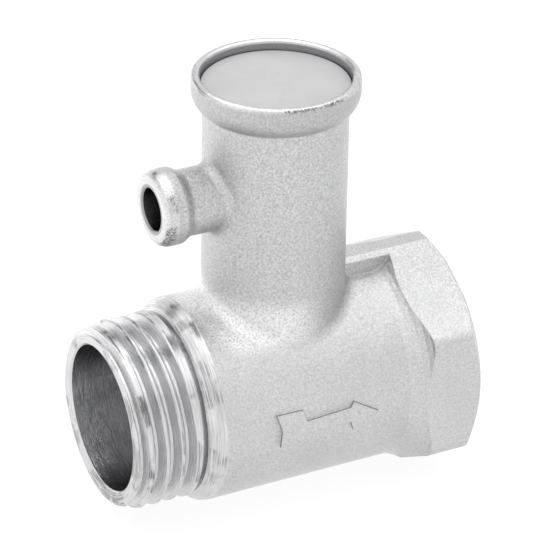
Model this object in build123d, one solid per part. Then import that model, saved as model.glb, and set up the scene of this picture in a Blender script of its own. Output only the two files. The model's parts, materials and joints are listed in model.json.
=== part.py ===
from build123d import *
import os
from math import cos, pi, radians, sin, tan

# Spring-loaded safety valve for a water heater, with a check valve in its run.
# Millimetres. The origin is the centre of the female mouth, +X points out of
# that mouth along the run, and +Z points up along the relief tower.

# Run
run_length = 40.66
run_r = 11.5
tower_x = -19.8

# Pipe thread G 1/2, 55 degree flanks
pipe_major_r = 10.4775
pipe_minor_r = 9.3155
pipe_pitch = 1.814
pipe_flank = 27.5
pipe_root_flat = 0.302

# Male end
male_x = -run_length
male_bore_r = 8.2
male_face_r = 9.75
male_groove_start = -40.965
male_groove_end = -33.45
undercut_x = -33.25
undercut_r = 9.5
collar_x = -30.8

# Female end
socket_length = 12.6
socket_r = 10.95
mouth_r = 10.6
mouth_depth = 0.9
hex_across = 24.7
hex_corner_r = 1.75
hex_length = 5.9
hex_drop = 0.15
hex_trim_z = 13.7
slope_z = 10.6
rib_length = 12.4
rib_width = 3.3
hex_face_r = 12.33
hex_chamfer = 1.4

# Check valve in the run
seat_x = -28.9
web = 2.5
orifice_r = 5.25
lip_h = 0.7
chamber_r = 8.2
guide_x = -15.6
guide_r = 8.7
clip_x = -13.4
clip_wire_r = 0.5

# Tower and rim
tower_r = 7.9
rim_r = 9.12
rim_top = 37.43
rim_bore_r = 8.15
ledge_z = 35.2
spring_bore_r = 5.9
floor_z = 12.0
relief_orifice_r = 3.2
relief_lip_z = 12.8
disc_r = 8.1
disc_top = 36.3

# Adjusting thread M13 x 1, 60 degree flanks
plug_pitch = 1.0
plug_pitch_r = 6.1752
plug_slack = 0.03
plug_minor_r = 5.96
plug_crest_r = 6.42
thread_z = 27.4
sleeve_r = 7.2

# Drain nipple
nipple_z = 24.34
nipple_x = tower_x - 14.68
nipple_bore_r = 2.35
neck_r = 3.65
bead_r = 4.25

# Relief poppet, spring and plug
poppet_seat_z = 17.0
plug_z = 28.8
plug_top = 34.2
plate_t = 1.2
relief_wire = 1.3
relief_coil_r = 3.95
stem_r = 1.75

# Check poppet and spring
head_x = -24.1
head_r = 7.0
check_wire = 0.5
check_coil_r = 3.0

# Flow arrow outline on the front of the run: distance from the tower axis along the run, height
arrow_outline = [
    (-5.2, 2.45), (-4.6, 0.5), (-4.75, -1.55), (-2.2, -1.75), (-1.4, -0.45), (3.8, -0.55),
    (4.2, -1.65), (7.24, 0.1), (4.2, 1.95), (3.8, 1.3), (-1.5, 1.0), (-1.95, 2.4),
]
arrow_relief = 0.3

tower_axis = Axis((tower_x, 0, 0), (0, 0, 1))
along_x = Plane(origin=(0, 0, 0), x_dir=(0, 1, 0), z_dir=(1, 0, 0))


def turned_on_run(points):
    """Solid of revolution about the run from (x, radius) corners."""
    return revolve(make_face(Polyline(*[(x, r, 0) for x, r in points], close=True)), Axis.X)


def turned_on_tower(points):
    """Solid of revolution about the tower from (radius, z) corners."""
    outline = Polyline(*[(tower_x + r, 0, z) for r, z in points], close=True)
    return revolve(make_face(outline), tower_axis)


def rod_x(radius, x0, x1, z=0):
    """Cylinder along X from x0 to x1."""
    return Pos((x0 + x1) / 2, 0, z) * Rot(0, 90, 0) * Cylinder(radius, x1 - x0)


def rod_z(radius, z0, z1):
    """Cylinder on the tower axis from z0 to z1."""
    return Pos(tower_x, 0, (z0 + z1) / 2) * Cylinder(radius, z1 - z0)


def helical_cut(corners, pitch, turns):
    """Groove about +Z that starts on +X at z = 0, from (radius, half width) corners, deepest first."""
    outline = [(r, 0, -w) for r, w in corners] + [(r, 0, w) for r, w in reversed(corners)]
    path = Helix(pitch, pitch * turns, corners[0][0])
    section = make_face(Polyline(*outline, close=True)).face()
    if section.normal_at().Y < 0:
        section = -section
    return sweep(section, path, is_frenet=True)


def on_run(shape, x, turn=0):
    """Place a shape made about +Z so that it lies about +X, its zero at x."""
    return Pos(x, 0, 0) * along_x.location * Rot(0, 0, turn) * shape


def pipe_groove(turns, inward):
    """Whitworth-form groove of the pipe thread, cut inward from the crest or outward into a bore."""
    depth = pipe_major_r - pipe_minor_r
    slope = tan(radians(pipe_flank))
    bottom = pipe_root_flat / 2
    shoulder = bottom + 0.9 * depth * slope
    crest = shoulder + 0.17
    steps = [(0, bottom), (0.9 * depth, shoulder), (depth, crest), (depth + 0.06, crest + 0.04)]
    if inward:
        corners = [(pipe_minor_r + d, w) for d, w in steps]
    else:
        corners = [(pipe_major_r - d, w) for d, w in steps]
    return helical_cut(corners, pipe_pitch, turns)


def plug_groove(turns, inward):
    """Sixty degree groove of the adjusting thread, for the plug or for the tower."""
    slope = tan(radians(30))
    half = plug_pitch / 4 + plug_slack
    radii = (5.8, 6.5) if inward else (6.55, 5.85)
    sign = 1 if inward else -1
    corners = [(r, half + sign * (r - plug_pitch_r) * slope) for r in radii]
    return helical_cut(corners, plug_pitch, turns)


def threaded_sleeve(outer_r, bore_r, groove, length, mouth, recess):
    """Ring on +Z from z = 0 with an inside thread, then a 45 degree cone and a plain recess at its far end."""
    ring = Pos(0, 0, length / 2) * (Cylinder(outer_r, length + 10) - Cylinder(bore_r, length + 10))
    ring -= groove
    inner = bore_r - 1
    cone_top = length - recess
    envelope = revolve(make_face(Polyline(
        (inner, 0, 0), (outer_r, 0, 0), (outer_r, 0, length), (mouth, 0, length),
        (mouth, 0, cone_top), (inner, 0, cone_top - mouth + inner), close=True)), Axis.Z)
    return ring & envelope


def run_outside():
    """Threaded male end, undercut, turned collar and plain run."""
    turns = (male_groove_end - male_groove_start) / pipe_pitch
    thread = rod_x(pipe_major_r, male_x, undercut_x)
    thread -= on_run(pipe_groove(turns, True), male_groove_start)
    thread &= turned_on_run([
        (male_x, 0), (male_x, male_face_r), (male_x + 0.2, 9.92), (male_x + 0.8, 10.08),
        (male_x + 1.35, 10.28), (male_x + 1.9, 10.5), (male_x + 2.4, 11), (undercut_x, 11),
        (undercut_x, 0),
    ])
    return thread + turned_on_run([
        (undercut_x, 0), (undercut_x, pipe_major_r), (-32.95, undercut_r), (-32.72, undercut_r),
        (-32.6, 10.3), (-32.38, 10.62), (-32.1, 10.88), (-31.7, 11.2), (-31.3, 11.4),
        (collar_x, run_r), (-hex_length + 0.5, run_r), (-hex_length + 0.5, 0),
    ])


def hexagon():
    """Spanner hexagon with flats at front and back, and the forged rib that joins its top to the tower."""
    outline = RegularPolygon(hex_across / 2, 6, major_radius=False)
    outline = fillet(outline.vertices(), hex_corner_r)
    prism = Pos(0, 0, -hex_drop) * on_run(extrude(outline, rib_length), -rib_length, 90)
    prism &= Pos(0, 0, -hex_drop) * Box(100, 100, 2 * hex_trim_z)
    end_chamfer = [(-hex_chamfer, hex_face_r + 1.34 * hex_chamfer), (0, hex_face_r), (0, 0)]
    shoulder = turned_on_run([
        (-8.7, 0), (-8.7, run_r - 0.1), (-8.3, 11.54), (-7.6, 11.72), (-6.95, 12.1),
        (-6.4, 12.7), (-6.05, 13.4), (-hex_length, 14.3), (-hex_chamfer, 14.3)] + end_chamfer)
    slope = turned_on_run([
        (-8.7, 0), (-8.7, run_r - 0.1), (-7.2, 11.72), (-6.0, 12.1), (-4.6, 12.42),
        (-2.7, 12.72), (-0.45, 12.93)] + end_chamfer[1:])
    upper = Pos(0, 0, 50 - slope_z) * Box(100, 100, 100)
    lower = Pos(0, 0, -50 - slope_z) * Box(100, 100, 100)
    rib = Pos(-rib_length / 2 - hex_chamfer, 0, run_r) * Box(rib_length, rib_width, run_r)
    return (prism & shoulder & upper) + (prism & slope & lower) + (prism & rib)


def tower_outside():
    """Tower with its flared rim and rounded lip."""
    lip = 0.4
    flare = ThreePointArc((tower_x + tower_r, 0, 33.65), (tower_x + 8.772, 0, 34.519),
                          (tower_x + rim_r, 0, 35.7))
    corner = (tower_x + rim_r, 0, rim_top - lip)
    middle = (tower_x + rim_r - 0.293 * lip, 0, rim_top - 0.293 * lip)
    arc = ThreePointArc(corner, middle, (tower_x + rim_r - lip, 0, rim_top))
    sides = Polyline((tower_x + rim_r - lip, 0, rim_top), (tower_x, 0, rim_top), (tower_x, 0, 0),
                     (tower_x + tower_r, 0, 0), (tower_x + tower_r, 0, 33.65))
    outline = make_face([flare, Line((tower_x + rim_r, 0, 35.7), corner), arc, sides])
    return revolve(outline, tower_axis)


def nipple_outside():
    """Drain nipple with a rounded hose bead."""
    profile = [
        (nipple_x, 0), (nipple_x, 3.4), (nipple_x + 0.12, 3.72), (nipple_x + 0.38, 4.0),
        (nipple_x + 0.75, 4.18), (nipple_x + 1.1, bead_r), (nipple_x + 2.4, bead_r),
        (nipple_x + 2.75, 4.1), (nipple_x + 3.3, 3.75), (nipple_x + 3.6, neck_r),
        (tower_x - 2, neck_r), (tower_x - 2, 0),
    ]
    return Pos(0, 0, nipple_z) * turned_on_run(profile)


def flow_arrow():
    """Raised arrow that follows the curve of the run."""
    outline = Polyline(*[(tower_x + x, -run_r + 2, z) for x, z in arrow_outline], close=True)
    prism = extrude(make_face(outline), 4, dir=(0, -1, 0))
    arrow = prism & rod_x(run_r + arrow_relief, -30, -10)
    top = arrow.faces().filter_by(GeomType.CYLINDER).sort_by(Axis.Y)[0]
    return fillet(top.edges(), 0.12)


def blend(shape, radius, low, high):
    """Fillet the curved joint edges whose centres lie in the box from low to high."""
    edges = [e for e in shape.edges() if all(a < c < b for a, c, b in zip(low, e.center(), high))]
    edges = [e for e in edges if e.geom_type not in (GeomType.CIRCLE, GeomType.LINE)]
    return fillet(edges, radius)


def casting():
    """Outside of the body with its blends."""
    shape = run_outside() + tower_outside()
    shape = blend(shape, 1.5, (tower_x - 9, -9, 5), (tower_x + 9, 9, 12))
    shape += nipple_outside()
    shape = blend(shape, 1.0, (tower_x - 9, -5, nipple_z - 5), (tower_x - 4, 5, nipple_z + 5))
    return shape + hexagon() + flow_arrow()


def run_passage():
    """Male bore, check seat with its raised lip, check chamber, clip groove and female bore."""
    half_clip = clip_wire_r + 0.05
    return turned_on_run([
        (male_x - 1, 0), (male_x - 1, male_bore_r + 1.2), (male_x + 0.2, male_bore_r),
        (seat_x, male_bore_r), (seat_x, orifice_r), (seat_x + web + lip_h, orifice_r),
        (seat_x + web + lip_h, orifice_r + 0.6), (seat_x + web, orifice_r + 0.9),
        (seat_x + web, chamber_r), (guide_x, chamber_r), (guide_x, guide_r),
        (clip_x - half_clip, guide_r), (clip_x - half_clip, guide_r + 0.45),
        (clip_x + half_clip, guide_r + 0.45), (clip_x + half_clip, pipe_minor_r),
        (-socket_length, pipe_minor_r), (-socket_length, socket_r), (1, socket_r), (1, 0),
    ])


def tower_passage():
    """Relief orifice with its raised lip, spring chamber, plug bore and the counterbore for the disc."""
    lip_top_r = relief_orifice_r + 0.4
    return turned_on_tower([
        (0, 5), (relief_orifice_r, 5), (relief_orifice_r, relief_lip_z), (lip_top_r, relief_lip_z),
        (lip_top_r + 0.5, floor_z), (spring_bore_r, floor_z), (spring_bore_r, 26.9),
        (sleeve_r, 26.9), (sleeve_r, ledge_z), (rim_bore_r, ledge_z),
        (rim_bore_r, rim_top - 0.35), (rim_bore_r + 0.1, rim_top - 0.12),
        (rim_bore_r + 0.35, rim_top), (rim_bore_r + 0.35, 40), (0, 40),
    ])


def valve_body():
    """Nickel-plated brass body: pipe threads, check seat, relief seat, tower, nipple and hexagon."""
    shape = casting() - run_passage() - tower_passage()
    shape -= rod_x(nipple_bore_r, nipple_x - 1, tower_x, nipple_z)
    shape -= Pos(0, 0, nipple_z) * turned_on_run([
        (nipple_x - 1, 0), (nipple_x - 1, nipple_bore_r + 1.15),
        (nipple_x + 0.15, nipple_bore_r), (nipple_x + 0.15, 0)])
    pipe_cut = Pos(0, 0, 0.9) * pipe_groove(8, False)
    socket = threaded_sleeve(socket_r, pipe_minor_r, pipe_cut, socket_length, mouth_r, mouth_depth)
    plug_cut = Pos(0, 0, thread_z - 26.9) * plug_groove(9, False)
    collar = threaded_sleeve(sleeve_r, plug_minor_r, plug_cut, ledge_z - 26.9, 6.6, 0.3)
    return shape + on_run(socket, -socket_length) + Pos(tower_x, 0, 26.9) * collar


def coil(mean_r, wire_r, length, turns):
    """Compression spring on +Z from z = 0, with closed end coils ground flat."""
    closed = 1.0
    per_turn = 18
    rise = (length - 2 * closed * 2 * wire_r) / (turns - 2 * closed)
    points = []
    z = 0.0
    for step in range(int(turns * per_turn) + 1):
        turn = step / per_turn
        points.append((mean_r * cos(2 * pi * turn), mean_r * sin(2 * pi * turn), z))
        ends = min(turn, turns - turn) / closed
        share = min(max((ends - 0.6) / 0.8, 0), 1)
        z += (2 * wire_r + share * (rise - 2 * wire_r)) / per_turn
    scale = (length - wire_r) / z
    path = Spline(*[(x, y, wire_r / 2 + h * scale) for x, y, h in points])
    section = Plane(origin=path @ 0, z_dir=path % 0) * Circle(wire_r)
    wire = sweep(section, path, is_frenet=True)
    return wire & Pos(0, 0, length / 2) * Box(40, 40, length)


def cover_disc():
    """Plain disc pressed into the rim."""
    disc = rod_z(disc_r, ledge_z, disc_top)
    return chamfer(disc.edges().filter_by(GeomType.CIRCLE), 0.12)


def adjusting_plug():
    """Brass plug with a 5 mm hexagon socket and a hole that guides the poppet stem."""
    hole_r = stem_r + 0.08
    plug = rod_z(plug_crest_r, plug_z, plug_top)
    plug -= Pos(tower_x, 0, thread_z + plug_pitch / 2) * plug_groove(7, True)
    plug &= turned_on_tower([
        (hole_r, plug_z), (5.7, plug_z), (6.5, plug_z + 0.8), (6.5, plug_top - 0.8),
        (5.7, plug_top), (hole_r, plug_top)])
    socket = RegularPolygon(2.5, 6, major_radius=False)
    return plug - Pos(tower_x, 0, plug_top - 3.0) * extrude(socket, 4)


def upper_spring_plate():
    """Steel thrust washer between the spring and the plug, with a collar inside the spring."""
    low = plug_z - plate_t
    return turned_on_tower([
        (2.15, low - 1.0), (2.9, low - 1.0), (3.05, low - 0.85), (3.05, low), (5.35, low),
        (5.5, low + 0.15), (5.5, plug_z), (2.15, plug_z)])


def relief_holder():
    """Poppet with a cup for its seal, four guide fins, a spring seat and a guide stem."""
    holder = turned_on_tower([
        (0, 14.5), (4.32, 14.5), (4.32, 13.2), (4.5, 13.0), (4.85, 13.0), (5.0, 13.2),
        (5.0, poppet_seat_z - 0.2), (4.8, poppet_seat_z), (2.95, poppet_seat_z),
        (2.95, poppet_seat_z + 1.5), (2.6, poppet_seat_z + 1.9), (stem_r, poppet_seat_z + 2.2),
        (stem_r, 30.0), (stem_r - 0.4, 30.4), (0, 30.4)])
    fin = Pos(tower_x + 5.2, 0, 15.3) * Box(1.6, 1.6, 3.0)
    fin &= rod_z(spring_bore_r - 0.08, 13, 18)
    for angle in (45, 135, 225, 315):
        holder += fin.rotate(tower_axis, angle)
    return holder


def relief_seal():
    """Rubber disc that closes the relief seat."""
    seal = rod_z(4.3, relief_lip_z, 14.5)
    return chamfer(seal.edges().filter_by(GeomType.CIRCLE), 0.15)


def relief_spring():
    """Main spring between the poppet and the upper plate."""
    low = poppet_seat_z
    length = plug_z - plate_t - low
    return Pos(tower_x, 0, low) * coil(relief_coil_r, relief_wire / 2, length, 5.5)


def check_poppet():
    """Plastic mushroom with a barb for its seal ring and a guide stem."""
    return turned_on_run([
        (-27.4, 0), (-27.4, 2.6), (-26.4, 3.9), (-25.8, 4.1), (-25.75, 3.5), (head_x, 3.5),
        (head_x, head_r - 0.2), (head_x + 0.2, head_r), (head_x + 1.0, head_r),
        (head_x + 1.3, head_r - 0.4), (head_x + 1.3, 2.4), (head_x + 2.3, 2.3),
        (head_x + 2.8, stem_r), (-12.6, stem_r), (-12.2, stem_r - 0.4), (-12.2, 0)])


def check_seal():
    """Rubber ring under the poppet's head."""
    face_x = seat_x + web + lip_h
    return turned_on_run([
        (face_x, 3.65), (face_x, head_r - 0.35), (face_x + 0.2, head_r - 0.15),
        (head_x, head_r - 0.15), (head_x, 3.55), (face_x + 0.2, 3.55)])


def check_spring():
    """Light spring that closes the check poppet."""
    low = head_x + 1.3
    return on_run(coil(check_coil_r, check_wire / 2, guide_x - low, 6), low)


def check_guide():
    """Ring with three arms and a hub that carries the check stem."""
    thick = clip_x - clip_wire_r - 0.05 - guide_x
    ring = rod_x(guide_r - 0.05, guide_x, guide_x + thick) - rod_x(7.3, guide_x - 1, 0)
    hub = rod_x(3.6, guide_x, guide_x + thick + 1.0)
    arm = Pos(guide_x + thick / 2, 0, 5.2) * Box(thick, 1.6, 4.8)
    for turn in (0, 120, 240):
        ring += arm.rotate(Axis.X, turn)
    return ring + hub - rod_x(stem_r + 0.08, guide_x - 1, 0)


def check_clip():
    """Open spring-wire ring that holds the guide in its groove."""
    ring = Pos(clip_x, 0, 0) * Rot(0, 90, 0) * Torus(guide_r + 0.35 - clip_wire_r, clip_wire_r)
    gap = Pos(clip_x, 0, -guide_r) * Box(3, 3.0, 4)
    return ring - gap


NODES = [
    valve_body, cover_disc, adjusting_plug, upper_spring_plate, relief_holder, relief_seal,
    relief_spring, check_poppet, check_seal, check_spring, check_guide, check_clip,
]

os.makedirs("parts", exist_ok=True)
for make in NODES:
    export_step(make(), f"parts/{make.__name__}.step")
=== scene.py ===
import json
import math

import bpy
from mathutils import Matrix, Vector


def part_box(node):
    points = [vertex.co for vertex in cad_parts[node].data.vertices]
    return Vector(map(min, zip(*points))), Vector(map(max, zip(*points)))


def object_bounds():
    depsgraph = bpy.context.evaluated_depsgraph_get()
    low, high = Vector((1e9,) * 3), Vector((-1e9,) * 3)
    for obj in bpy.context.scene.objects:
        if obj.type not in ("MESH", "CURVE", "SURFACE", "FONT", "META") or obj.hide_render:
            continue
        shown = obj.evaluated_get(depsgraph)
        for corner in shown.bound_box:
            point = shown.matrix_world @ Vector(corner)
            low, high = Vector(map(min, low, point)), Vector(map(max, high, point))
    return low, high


# Looks of a plated water heater safety valve: materials for every CAD part, a white studio and the camera.
# Lengths in node trees are millimetres, and the scene is in metres.

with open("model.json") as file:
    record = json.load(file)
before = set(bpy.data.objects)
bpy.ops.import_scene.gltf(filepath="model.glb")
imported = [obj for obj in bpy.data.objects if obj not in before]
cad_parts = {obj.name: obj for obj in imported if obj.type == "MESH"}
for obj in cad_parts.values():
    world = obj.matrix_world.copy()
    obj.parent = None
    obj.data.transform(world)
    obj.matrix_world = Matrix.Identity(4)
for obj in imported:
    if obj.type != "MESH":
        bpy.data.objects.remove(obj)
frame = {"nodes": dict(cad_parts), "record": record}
cad_lo, cad_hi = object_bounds()
parts = frame["nodes"]
body_lo, body_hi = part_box("valve_body")
disc_lo, disc_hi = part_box("cover_disc")
mounts = {mount["name"]: mount for mount in frame["record"]["mounts"]}

# Where the casting's features lie, in millimetres
MM = 1000
MALE_FACE_X = body_lo.x * MM
RIM_TOP = body_hi.z * MM
TOWER_X = (disc_lo.x + disc_hi.x) / 2 * MM
NIPPLE_Z = mounts["drain_bore"]["pos_m"][2] * MM
NIPPLE_BORE_R = mounts["drain_bore"]["dims"]["r_mm"]
BEAD_R = mounts["drain_nipple"]["dims"]["r_mm"]
MALE_BORE_R = mounts["inlet_bore"]["dims"]["r_mm"]
THREAD_R = mounts["inlet_thread"]["dims"]["r_mm"]
COLLAR_X = -30.8
TIP_X = -34.5
RUN_R = 11.5
ARROW_R = RUN_R + 0.3
RIM_R = 9.12
RIM_BORE_R = 8.15

# Dark colour for surface specks and for painted dark reflections along the edges.
SPECK_AND_REFLECTION_DARK = (0.10, 0.10, 0.10)
WHITE = (1, 1, 1, 1)


# ---------------------------------------------------------------- node helpers

class Tree:
    """Short way to write a material's node tree."""

    def __init__(self, name, slot_colour):
        self.material = bpy.data.materials.new(name)
        self.material.use_nodes = True
        self.material.diffuse_color = (*slot_colour, 1)
        self.nodes = self.material.node_tree.nodes
        self.links = self.material.node_tree.links
        self.shader = self.nodes["Principled BSDF"]

    def add(self, kind, inputs=None, **settings):
        node = self.nodes.new(kind)
        for key, value in settings.items():
            setattr(node, key, value)
        for key, value in (inputs or {}).items():
            self.feed(node.inputs[key], value)
        return node

    def feed(self, socket, value):
        if isinstance(value, bpy.types.NodeSocket):
            self.links.new(value, socket)
        else:
            socket.default_value = value

    def math(self, operation, *values):
        """Math node over two values, or chained over more."""
        result = values[0]
        for value in values[1:]:
            result = self.add("ShaderNodeMath", {0: result, 1: value}, operation=operation).outputs[0]
        return result

    def both(self, *masks):
        """Where all the masks are on."""
        return self.math("MULTIPLY", *masks)

    def either(self, *masks):
        """Where any of the masks is on."""
        return self.math("MAXIMUM", *masks)

    def ramp(self, value, low, high, to_low=0.0, to_high=1.0):
        """Smooth step of value from low..high to to_low..to_high."""
        inputs = {0: value, 1: low, 2: high, 3: to_low, 4: to_high}
        return self.add("ShaderNodeMapRange", inputs, interpolation_type="SMOOTHSTEP").outputs[0]

    def mix(self, factor, a, b):
        inputs = {0: factor, 2: a, 3: b}
        return self.add("ShaderNodeMix", inputs, data_type="FLOAT").outputs[0]

    def colour(self, factor, a, b):
        ends = [(*end, 1) if isinstance(end, tuple) else end for end in (a, b)]
        inputs = {0: factor, 6: ends[0], 7: ends[1]}
        return self.add("ShaderNodeMix", inputs, data_type="RGBA").outputs[2]

    def place(self):
        """Object coordinates in millimetres, and their x, y and z."""
        base = self.add("ShaderNodeTexCoord").outputs["Object"]
        spot = self.add("ShaderNodeVectorMath", {0: base, "Scale": MM}, operation="SCALE").outputs[0]
        axes = self.add("ShaderNodeSeparateXYZ", {0: spot}).outputs
        return spot, axes[0], axes[1], axes[2]

    def noise(self, where, scale, detail=2.0, roughness=0.5):
        inputs = {"Vector": where, "Scale": scale, "Detail": detail, "Roughness": roughness}
        return self.add("ShaderNodeTexNoise", inputs).outputs["Fac"]

    def reach(self, a, b):
        """Distance from an axis, from the two offsets across it."""
        squares = self.math("ADD", self.both(a, a), self.both(b, b))
        return self.math("POWER", squares, 0.5)

    def bump(self, height, distance_mm, strength=1.0, normal=None):
        inputs = {"Height": height, "Distance": distance_mm / MM, "Strength": strength}
        if normal is not None:
            inputs["Normal"] = normal
        return self.add("ShaderNodeBump", inputs).outputs[0]

    def finish(self, **sockets):
        for key, value in sockets.items():
            self.feed(self.shader.inputs[key.replace("_", " ")], value)
        return self.material


def dress(node, material):
    """Give a CAD part its material."""
    mesh = parts[node]
    for slot in mesh.material_slots:
        slot.link = "OBJECT"
        slot.material = material


# ---------------------------------------------------------------- plated casting

class Casting(Tree):
    """Satin plate over a sand-blasted casting, brighter and turned where it was machined, dimmer inside,
    with painted shade in the drain bore and under the rim lip.
    """

    def __init__(self):
        super().__init__("plated_casting", (0.62, 0.62, 0.63))
        self.spot, self.x, self.y, self.z = self.place()
        self.run_r = self.reach(self.y, self.z)
        self.tower_r = self.reach(self.math("SUBTRACT", self.x, TOWER_X), self.y)
        self.nipple_r = self.reach(self.y, self.math("SUBTRACT", self.z, NIPPLE_Z))
        self.mark_zones()
        self.make_noises()

    def mark_zones(self):
        """Masks for the machined and the hidden walls."""
        x, z = self.x, self.z
        self.low = self.ramp(z, 14.0, 13.0)
        self.male = self.both(self.ramp(x, COLLAR_X + 0.1, COLLAR_X - 0.1), self.low)
        self.rim = self.ramp(z, RIM_TOP - 0.53, RIM_TOP - 0.23)
        self.tip = self.both(self.ramp(x, TIP_X + 1.6, TIP_X + 1.0), self.ramp(z, 16.0, 17.0))
        in_rim_bore = self.ramp(self.tower_r, RIM_BORE_R + 0.35, RIM_BORE_R + 0.25)
        self.rim_inside = self.both(in_rim_bore, self.ramp(z, 34.5, 35.0))
        in_nipple_bore = self.ramp(self.nipple_r, NIPPLE_BORE_R + 0.55, NIPPLE_BORE_R + 0.35)
        self.nipple_inside = self.both(in_nipple_bore, self.ramp(x, -26.0, -27.0))
        run_inside = self.both(self.ramp(self.run_r, 11.1, 10.95), self.ramp(x, -30.0, -29.0))
        tower_inside = self.both(self.ramp(self.tower_r, 7.75, 7.6), self.ramp(z, 9.0, 10.0))
        in_male_bore = self.ramp(self.run_r, MALE_BORE_R + 0.25, MALE_BORE_R + 0.1)
        bore = self.both(in_male_bore, self.ramp(x, -28.0, -29.0))
        self.inside = self.either(run_inside, tower_inside, self.nipple_inside, bore)
        outlet = self.ramp(x, -0.25, -0.05)
        self.turned = self.either(self.male, outlet, self.rim, self.rim_inside, self.tip, self.inside)

    def make_noises(self):
        """Tool streaks for the turned walls, grain for the cast ones."""
        around = self.math("ARCTAN2", self.y, self.z)
        ring = {0: self.x, 1: self.run_r, 2: self.both(around, 0.35)}
        self.streak_at = self.add("ShaderNodeCombineXYZ", ring).outputs[0]
        self.streaks = self.noise(self.streak_at, 9.0, 3.0, 0.7)
        self.grain = self.noise(self.spot, 4.2, 4.0, 0.8)

    def normal(self):
        """Soft cast edges, a slow swell, and grain or streaks."""
        fine_streaks = self.noise(self.streak_at, 26.0, 2.0, 0.6)
        pits = self.noise(self.spot, 1.7, 1.0)
        swell = self.noise(self.spot, 0.22, 1.5)
        cast = self.math("ADD", self.both(self.grain, 0.7), self.both(pits, 0.45))
        cut = self.math("ADD", self.both(self.streaks, 0.22), self.both(fine_streaks, 0.12))
        off_run = self.ramp(self.run_r, RUN_R + 0.005, RUN_R + 0.03)
        on_arrow = self.both(off_run, self.ramp(self.y, -9.0, -10.0))
        radius = self.mix(self.either(self.turned, on_arrow), 0.00022, 0.00005)
        soft_edges = self.add("ShaderNodeBevel", {"Radius": radius}, samples=6).outputs[0]
        broad = self.bump(swell, 0.16, 0.6, soft_edges)
        return self.bump(self.mix(self.turned, cast, cut), 0.11, 1.0, broad)

    def specks_and_edge_reflections(self):
        """Dark specks everywhere, and painted dark reflections as broken lines along the edges."""
        specks = self.ramp(self.noise(self.spot, 2.4, 2.0, 0.7), 0.72, 0.78)
        near_face = self.ramp(self.x, MALE_FACE_X + 3.06, MALE_FACE_X + 2.66)
        first_crest = self.both(near_face, self.ramp(self.run_r, THREAD_R - 0.53, THREAD_R - 0.33))
        crests = self.both(self.male, self.ramp(self.run_r, THREAD_R - 0.1, THREAD_R - 0.03), 0.6)
        thread = self.both(self.low, self.either(first_crest, crests))
        end_face = self.both(self.low, self.ramp(self.x, MALE_FACE_X + 0.26, MALE_FACE_X + 0.06), 0.8)
        rim_edge = self.both(self.rim, self.ramp(self.tower_r, RIM_R - 0.27, RIM_R - 0.12))
        tip_edge = self.both(self.tip, self.ramp(self.nipple_r, BEAD_R - 0.7, BEAD_R - 0.5))
        edges = self.either(thread, end_face, rim_edge, tip_edge)
        clump = self.ramp(self.noise(self.spot, 0.28, 2.0), 0.50, 0.60)
        broken = self.ramp(self.noise(self.streak_at, 5.0, 4.0, 0.8), 0.44, 0.54)
        # The specks are surface marks; the broken lines along the edges are painted dark reflections.
        return self.either(self.both(specks, 0.35), self.both(edges, clump, broken, 0.85))

    def cast_colour(self):
        """Pale plate with darker pits, a darker rim, a painted highlight on the tower foot and painted
        shade on the arrow sides.
        """
        patches = self.noise(self.spot, 0.09, 2.0)
        plate = self.colour(self.ramp(patches, 0.3, 0.7), (0.635, 0.635, 0.642), (0.685, 0.685, 0.69))
        pitted = self.both(self.ramp(self.grain, 0.66, 0.36), self.ramp(self.z, 7.0, 13.0, 0.7, 1.0))
        plate = self.colour(pitted, plate, (0.42, 0.42, 0.425))
        plate = self.colour(self.ramp(self.z, 33.4, 34.4, 0.0, 0.3), plate, (0.34, 0.34, 0.345))
        # Painted highlight: the tower foot where it meets the run is lightened in grain-broken patches.
        foot_height = self.both(self.ramp(self.z, 8.0, 9.5), self.ramp(self.z, 14.5, 12.0))
        foot_reach = self.both(self.ramp(self.tower_r, 12.0, 10.0), self.ramp(self.x, -17.0, -22.0))
        highlight_grain = self.ramp(self.grain, 0.38, 0.56, 0.15, 0.9)
        plate = self.colour(self.both(foot_height, foot_reach, highlight_grain), plate, (0.86, 0.86, 0.865))
        # Painted shade: the side walls of the raised arrow are darkened.
        raised = self.both(
            self.ramp(self.run_r, RUN_R + 0.03, RUN_R + 0.08),
            self.ramp(self.run_r, ARROW_R - 0.01, ARROW_R - 0.035),
        )
        by_arrow = self.both(self.ramp(self.y, -10.0, -10.7), self.ramp(self.x, -10.0, -11.5))
        return self.colour(self.both(by_arrow, raised, 0.75), plate, (0.22, 0.22, 0.225))

    def surface_colour(self):
        """Cast plate, brighter cut metal outside, dimmer cut metal inside, painted shade in the drain bore
        and under the rim lip, and dark specks with painted dark edge reflections.
        """
        cut_bright = self.colour(self.ramp(self.streaks, 0.3, 0.7), (0.50, 0.50, 0.51), (0.70, 0.70, 0.705))
        cut_dim = self.colour(self.ramp(self.streaks, 0.2, 0.8), (0.55, 0.55, 0.56), (0.66, 0.66, 0.67))
        colour = self.colour(self.turned, self.cast_colour(), cut_bright)
        # Painted shade: the rim's inner wall just below the lip is darkened.
        below_lip = self.both(self.rim_inside, self.ramp(self.z, RIM_TOP - 0.13, RIM_TOP - 0.53))
        colour = self.colour(below_lip, colour, (0.33, 0.33, 0.34))
        colour = self.colour(self.inside, colour, cut_dim)
        # Painted shade: the drain nipple's bore is darkened.
        colour = self.colour(self.nipple_inside, colour, (0.30, 0.30, 0.31))
        return self.colour(self.specks_and_edge_reflections(), colour, SPECK_AND_REFLECTION_DARK)

    def roughness(self):
        """Satin where cast, shinier where cut."""
        cast = self.ramp(self.grain, 0.3, 0.7, 0.27, 0.36)
        cut = self.ramp(self.streaks, 0.3, 0.7, 0.10, 0.24)
        return self.mix(self.turned, cast, cut)


def plated_casting():
    """The casting's material."""
    casting = Casting()
    return casting.finish(
        Base_Color=casting.surface_colour(),
        Metallic=1.0,
        Roughness=casting.roughness(),
        Normal=casting.normal(),
    )


# ---------------------------------------------------------------- small parts

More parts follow.
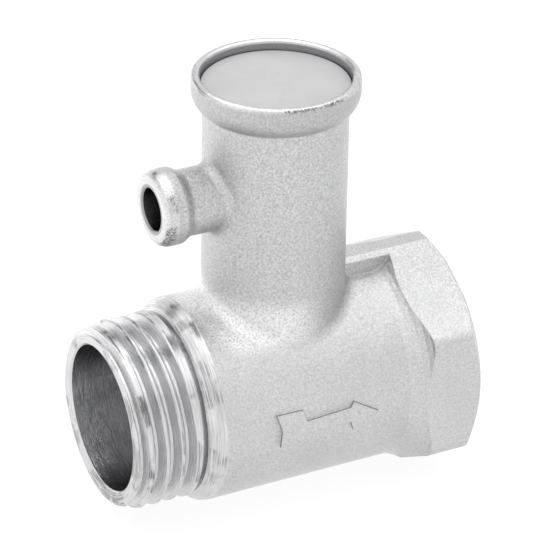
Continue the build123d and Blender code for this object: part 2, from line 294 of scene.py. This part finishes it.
def turned_metal(name, dark, light, roughness):
    """Turned metal with fine rings about the tower axis."""
    t = Tree(name, light)
    spot, x, y, z = t.place()
    across = t.reach(t.math("SUBTRACT", x, TOWER_X), y)
    rings_at = t.add("ShaderNodeCombineXYZ", {0: across, 1: z, 2: 0.0}).outputs[0]
    rings = t.noise(rings_at, 11.0, 3.0, 0.65)
    stain = t.noise(spot, 0.7, 3.0)
    colour = t.colour(t.ramp(t.math("ADD", rings, stain), 0.7, 1.3), dark, light)
    rough = t.ramp(rings, 0.3, 0.7, roughness - 0.06, roughness + 0.08)
    return t.finish(Base_Color=colour, Metallic=1.0, Roughness=rough, Normal=t.bump(rings, 0.02, 0.6))


def drawn_wire(name, dark, light, roughness):
    """Drawn spring wire with faint scale."""
    t = Tree(name, light)
    spot = t.place()[0]
    scale = t.noise(spot, 5.0, 4.0, 0.7)
    colour = t.colour(t.ramp(scale, 0.35, 0.65), dark, light)
    rough = t.ramp(scale, 0.3, 0.7, roughness - 0.08, roughness + 0.1)
    return t.finish(Base_Color=colour, Metallic=1.0, Roughness=rough, Normal=t.bump(scale, 0.012, 0.6))


def moulded(name, dark, light, roughness, grain_scale=3.0, depth_mm=0.012):
    """Moulded plastic or rubber with a fine grain."""
    t = Tree(name, light)
    spot = t.place()[0]
    grain = t.noise(spot, grain_scale, 3.0, 0.6)
    cloud = t.noise(spot, 0.25, 2.0)
    colour = t.colour(t.ramp(cloud, 0.3, 0.7), dark, light)
    rough = t.ramp(grain, 0.3, 0.7, roughness - 0.05, roughness + 0.07)
    return t.finish(Base_Color=colour, Roughness=rough, Normal=t.bump(grain, depth_mm, 0.6))


dress("valve_body", plated_casting())
dress("cover_disc", moulded("cover_disc", (0.415, 0.415, 0.42), (0.445, 0.445, 0.45), 0.40, 2.2, 0.006))
dress("adjusting_plug", turned_metal("brass", (0.52, 0.36, 0.12), (0.74, 0.55, 0.24), 0.28))
dress("upper_spring_plate", turned_metal("zinc_steel", (0.42, 0.43, 0.45), (0.62, 0.63, 0.66), 0.33))
dress("relief_holder", turned_metal("brass_poppet", (0.50, 0.34, 0.11), (0.72, 0.53, 0.22), 0.26))
dress("relief_seal", moulded("seal_rubber", (0.016, 0.016, 0.016), (0.028, 0.028, 0.028), 0.62))
dress("relief_spring", drawn_wire("spring_steel", (0.20, 0.20, 0.21), (0.42, 0.43, 0.45), 0.36))
dress("check_poppet", moulded("white_plastic", (0.74, 0.74, 0.71), (0.82, 0.82, 0.79), 0.38))
dress("check_seal", moulded("ring_rubber", (0.018, 0.018, 0.020), (0.032, 0.032, 0.034), 0.58))
dress("check_spring", drawn_wire("spring_stainless", (0.34, 0.34, 0.35), (0.56, 0.57, 0.58), 0.28))
dress("check_guide", moulded("grey_plastic", (0.33, 0.34, 0.35), (0.42, 0.43, 0.44), 0.42))
dress("check_clip", drawn_wire("clip_steel", (0.34, 0.35, 0.36), (0.58, 0.59, 0.60), 0.26))


# ---------------------------------------------------------------- studio

def card(name, width, height, material):
    """Flat rectangle that belongs to the studio and not to the object."""
    w, h = width / 2, height / 2
    mesh = bpy.data.meshes.new(name)
    mesh.from_pydata([(-w, -h, 0), (w, -h, 0), (w, h, 0), (-w, h, 0)], [], [(0, 1, 2, 3)])
    mesh.materials.append(material)
    sheet = bpy.data.objects.new(name, mesh)
    bpy.context.scene.collection.objects.link(sheet)
    return sheet


def aim(thing, spot, target, axis):
    """Put a thing at spot and turn its axis toward the target."""
    thing.location = spot
    thing.rotation_mode = "QUATERNION"
    thing.rotation_quaternion = (Vector(target) - Vector(spot)).to_track_quat(axis, "Y")


def studio_floor():
    """Plain white floor that the hexagon stands on, brighter at the back left to light the tower's side."""
    t = Tree("floor_white", (0.95, 0.95, 0.95))
    spot, x, y, _ = t.place()
    cloud = t.noise(spot, 0.01, 2.0)
    colour = t.colour(cloud, (0.15, 0.15, 0.15), (0.17, 0.17, 0.17))
    back_left = t.math("SUBTRACT", t.both(y, 0.6), t.both(x, 0.8))
    glow = t.ramp(back_left, 35.0, 110.0, 0.87, 1.25)
    material = t.finish(Base_Color=colour, Roughness=0.9, Emission_Color=WHITE, Emission_Strength=glow)
    floor = card("floor", 6.0, 6.0, material)
    floor.location.z = body_lo.z


def softbox(name, spot, target, size, power):
    """Rectangular area light at spot, facing target."""
    light = bpy.data.lights.new(name, "AREA")
    light.shape = "RECTANGLE"
    light.size, light.size_y = size
    light.energy = power
    lamp = bpy.data.objects.new(name, light)
    aim(lamp, spot, target, "-Z")
    bpy.context.scene.collection.objects.link(lamp)


def studio_world(horizon, zenith):
    """White dome, brighter overhead than at the horizon."""
    world = bpy.data.worlds.new("studio")
    world.use_nodes = True
    nodes, links = world.node_tree.nodes, world.node_tree.links
    axes = nodes.new("ShaderNodeSeparateXYZ")
    links.new(nodes.new("ShaderNodeTexCoord").outputs["Generated"], axes.inputs[0])
    rise = nodes.new("ShaderNodeMapRange")
    rise.interpolation_type = "SMOOTHSTEP"
    rise.inputs[1].default_value = 0.55
    rise.inputs[2].default_value = 0.90
    links.new(axes.outputs[2], rise.inputs[0])
    rise.inputs[3].default_value = horizon
    rise.inputs[4].default_value = zenith
    links.new(rise.outputs[0], nodes["Background"].inputs["Strength"])
    nodes["Background"].inputs["Color"].default_value = WHITE
    bpy.context.scene.world = world


def flag(name, spot, target, width, height):
    """Black card that gives the bright metal something dark to reflect."""
    t = Tree(name, (0.02, 0.02, 0.02))
    cloud = t.noise(t.place()[0], 0.01, 2.0)
    material = t.finish(Base_Color=t.colour(cloud, (0.02, 0.02, 0.02), (0.03, 0.03, 0.03)), Roughness=0.9)
    black = card(name, width, height, material)
    aim(black, spot, target, "Z")
    black.visible_camera = False


def camera():
    """Camera above the front left, looking down the male end and the front of the run."""
    yaw, pitch, roll = math.radians(27.33), math.radians(29.128), math.radians(0.92)
    back = Vector((-math.sin(yaw) * math.cos(pitch), -math.cos(yaw) * math.cos(pitch), math.sin(pitch)))
    right = Vector((0, 0, 1)).cross(back).normalized()
    up = back.cross(right)
    tilted_right = right * math.cos(roll) + up * math.sin(roll)
    tilted_up = up * math.cos(roll) - right * math.sin(roll)
    data = bpy.data.cameras.new("camera")
    data.sensor_width = 36
    data.lens = 214.26
    data.clip_start, data.clip_end = 0.01, 20
    lens = bpy.data.objects.new("camera", data)
    turn = Matrix((tilted_right, tilted_up, back)).transposed().to_4x4()
    lens.matrix_world = Matrix.Translation((-0.16243, -0.27586, 0.18626)) @ turn
    bpy.context.scene.collection.objects.link(lens)
    bpy.context.scene.camera = lens


middle = (cad_lo + cad_hi) / 2
studio_floor()
studio_world(1.03, 1.65)
softbox("top", (0.05, 0.15, 0.75), middle, (0.7, 0.5), 0.9)
softbox("left", (-0.75, -0.10, 0.35), middle, (0.5, 0.6), 0.25)
softbox("front", (0.10, -0.80, 0.25), middle, (0.5, 0.4), 0.1)
flag("flag_back", (-0.25, 0.85, 0.50), middle, 0.7, 0.20)
camera()
bpy.context.scene.view_settings.view_transform = "Standard"
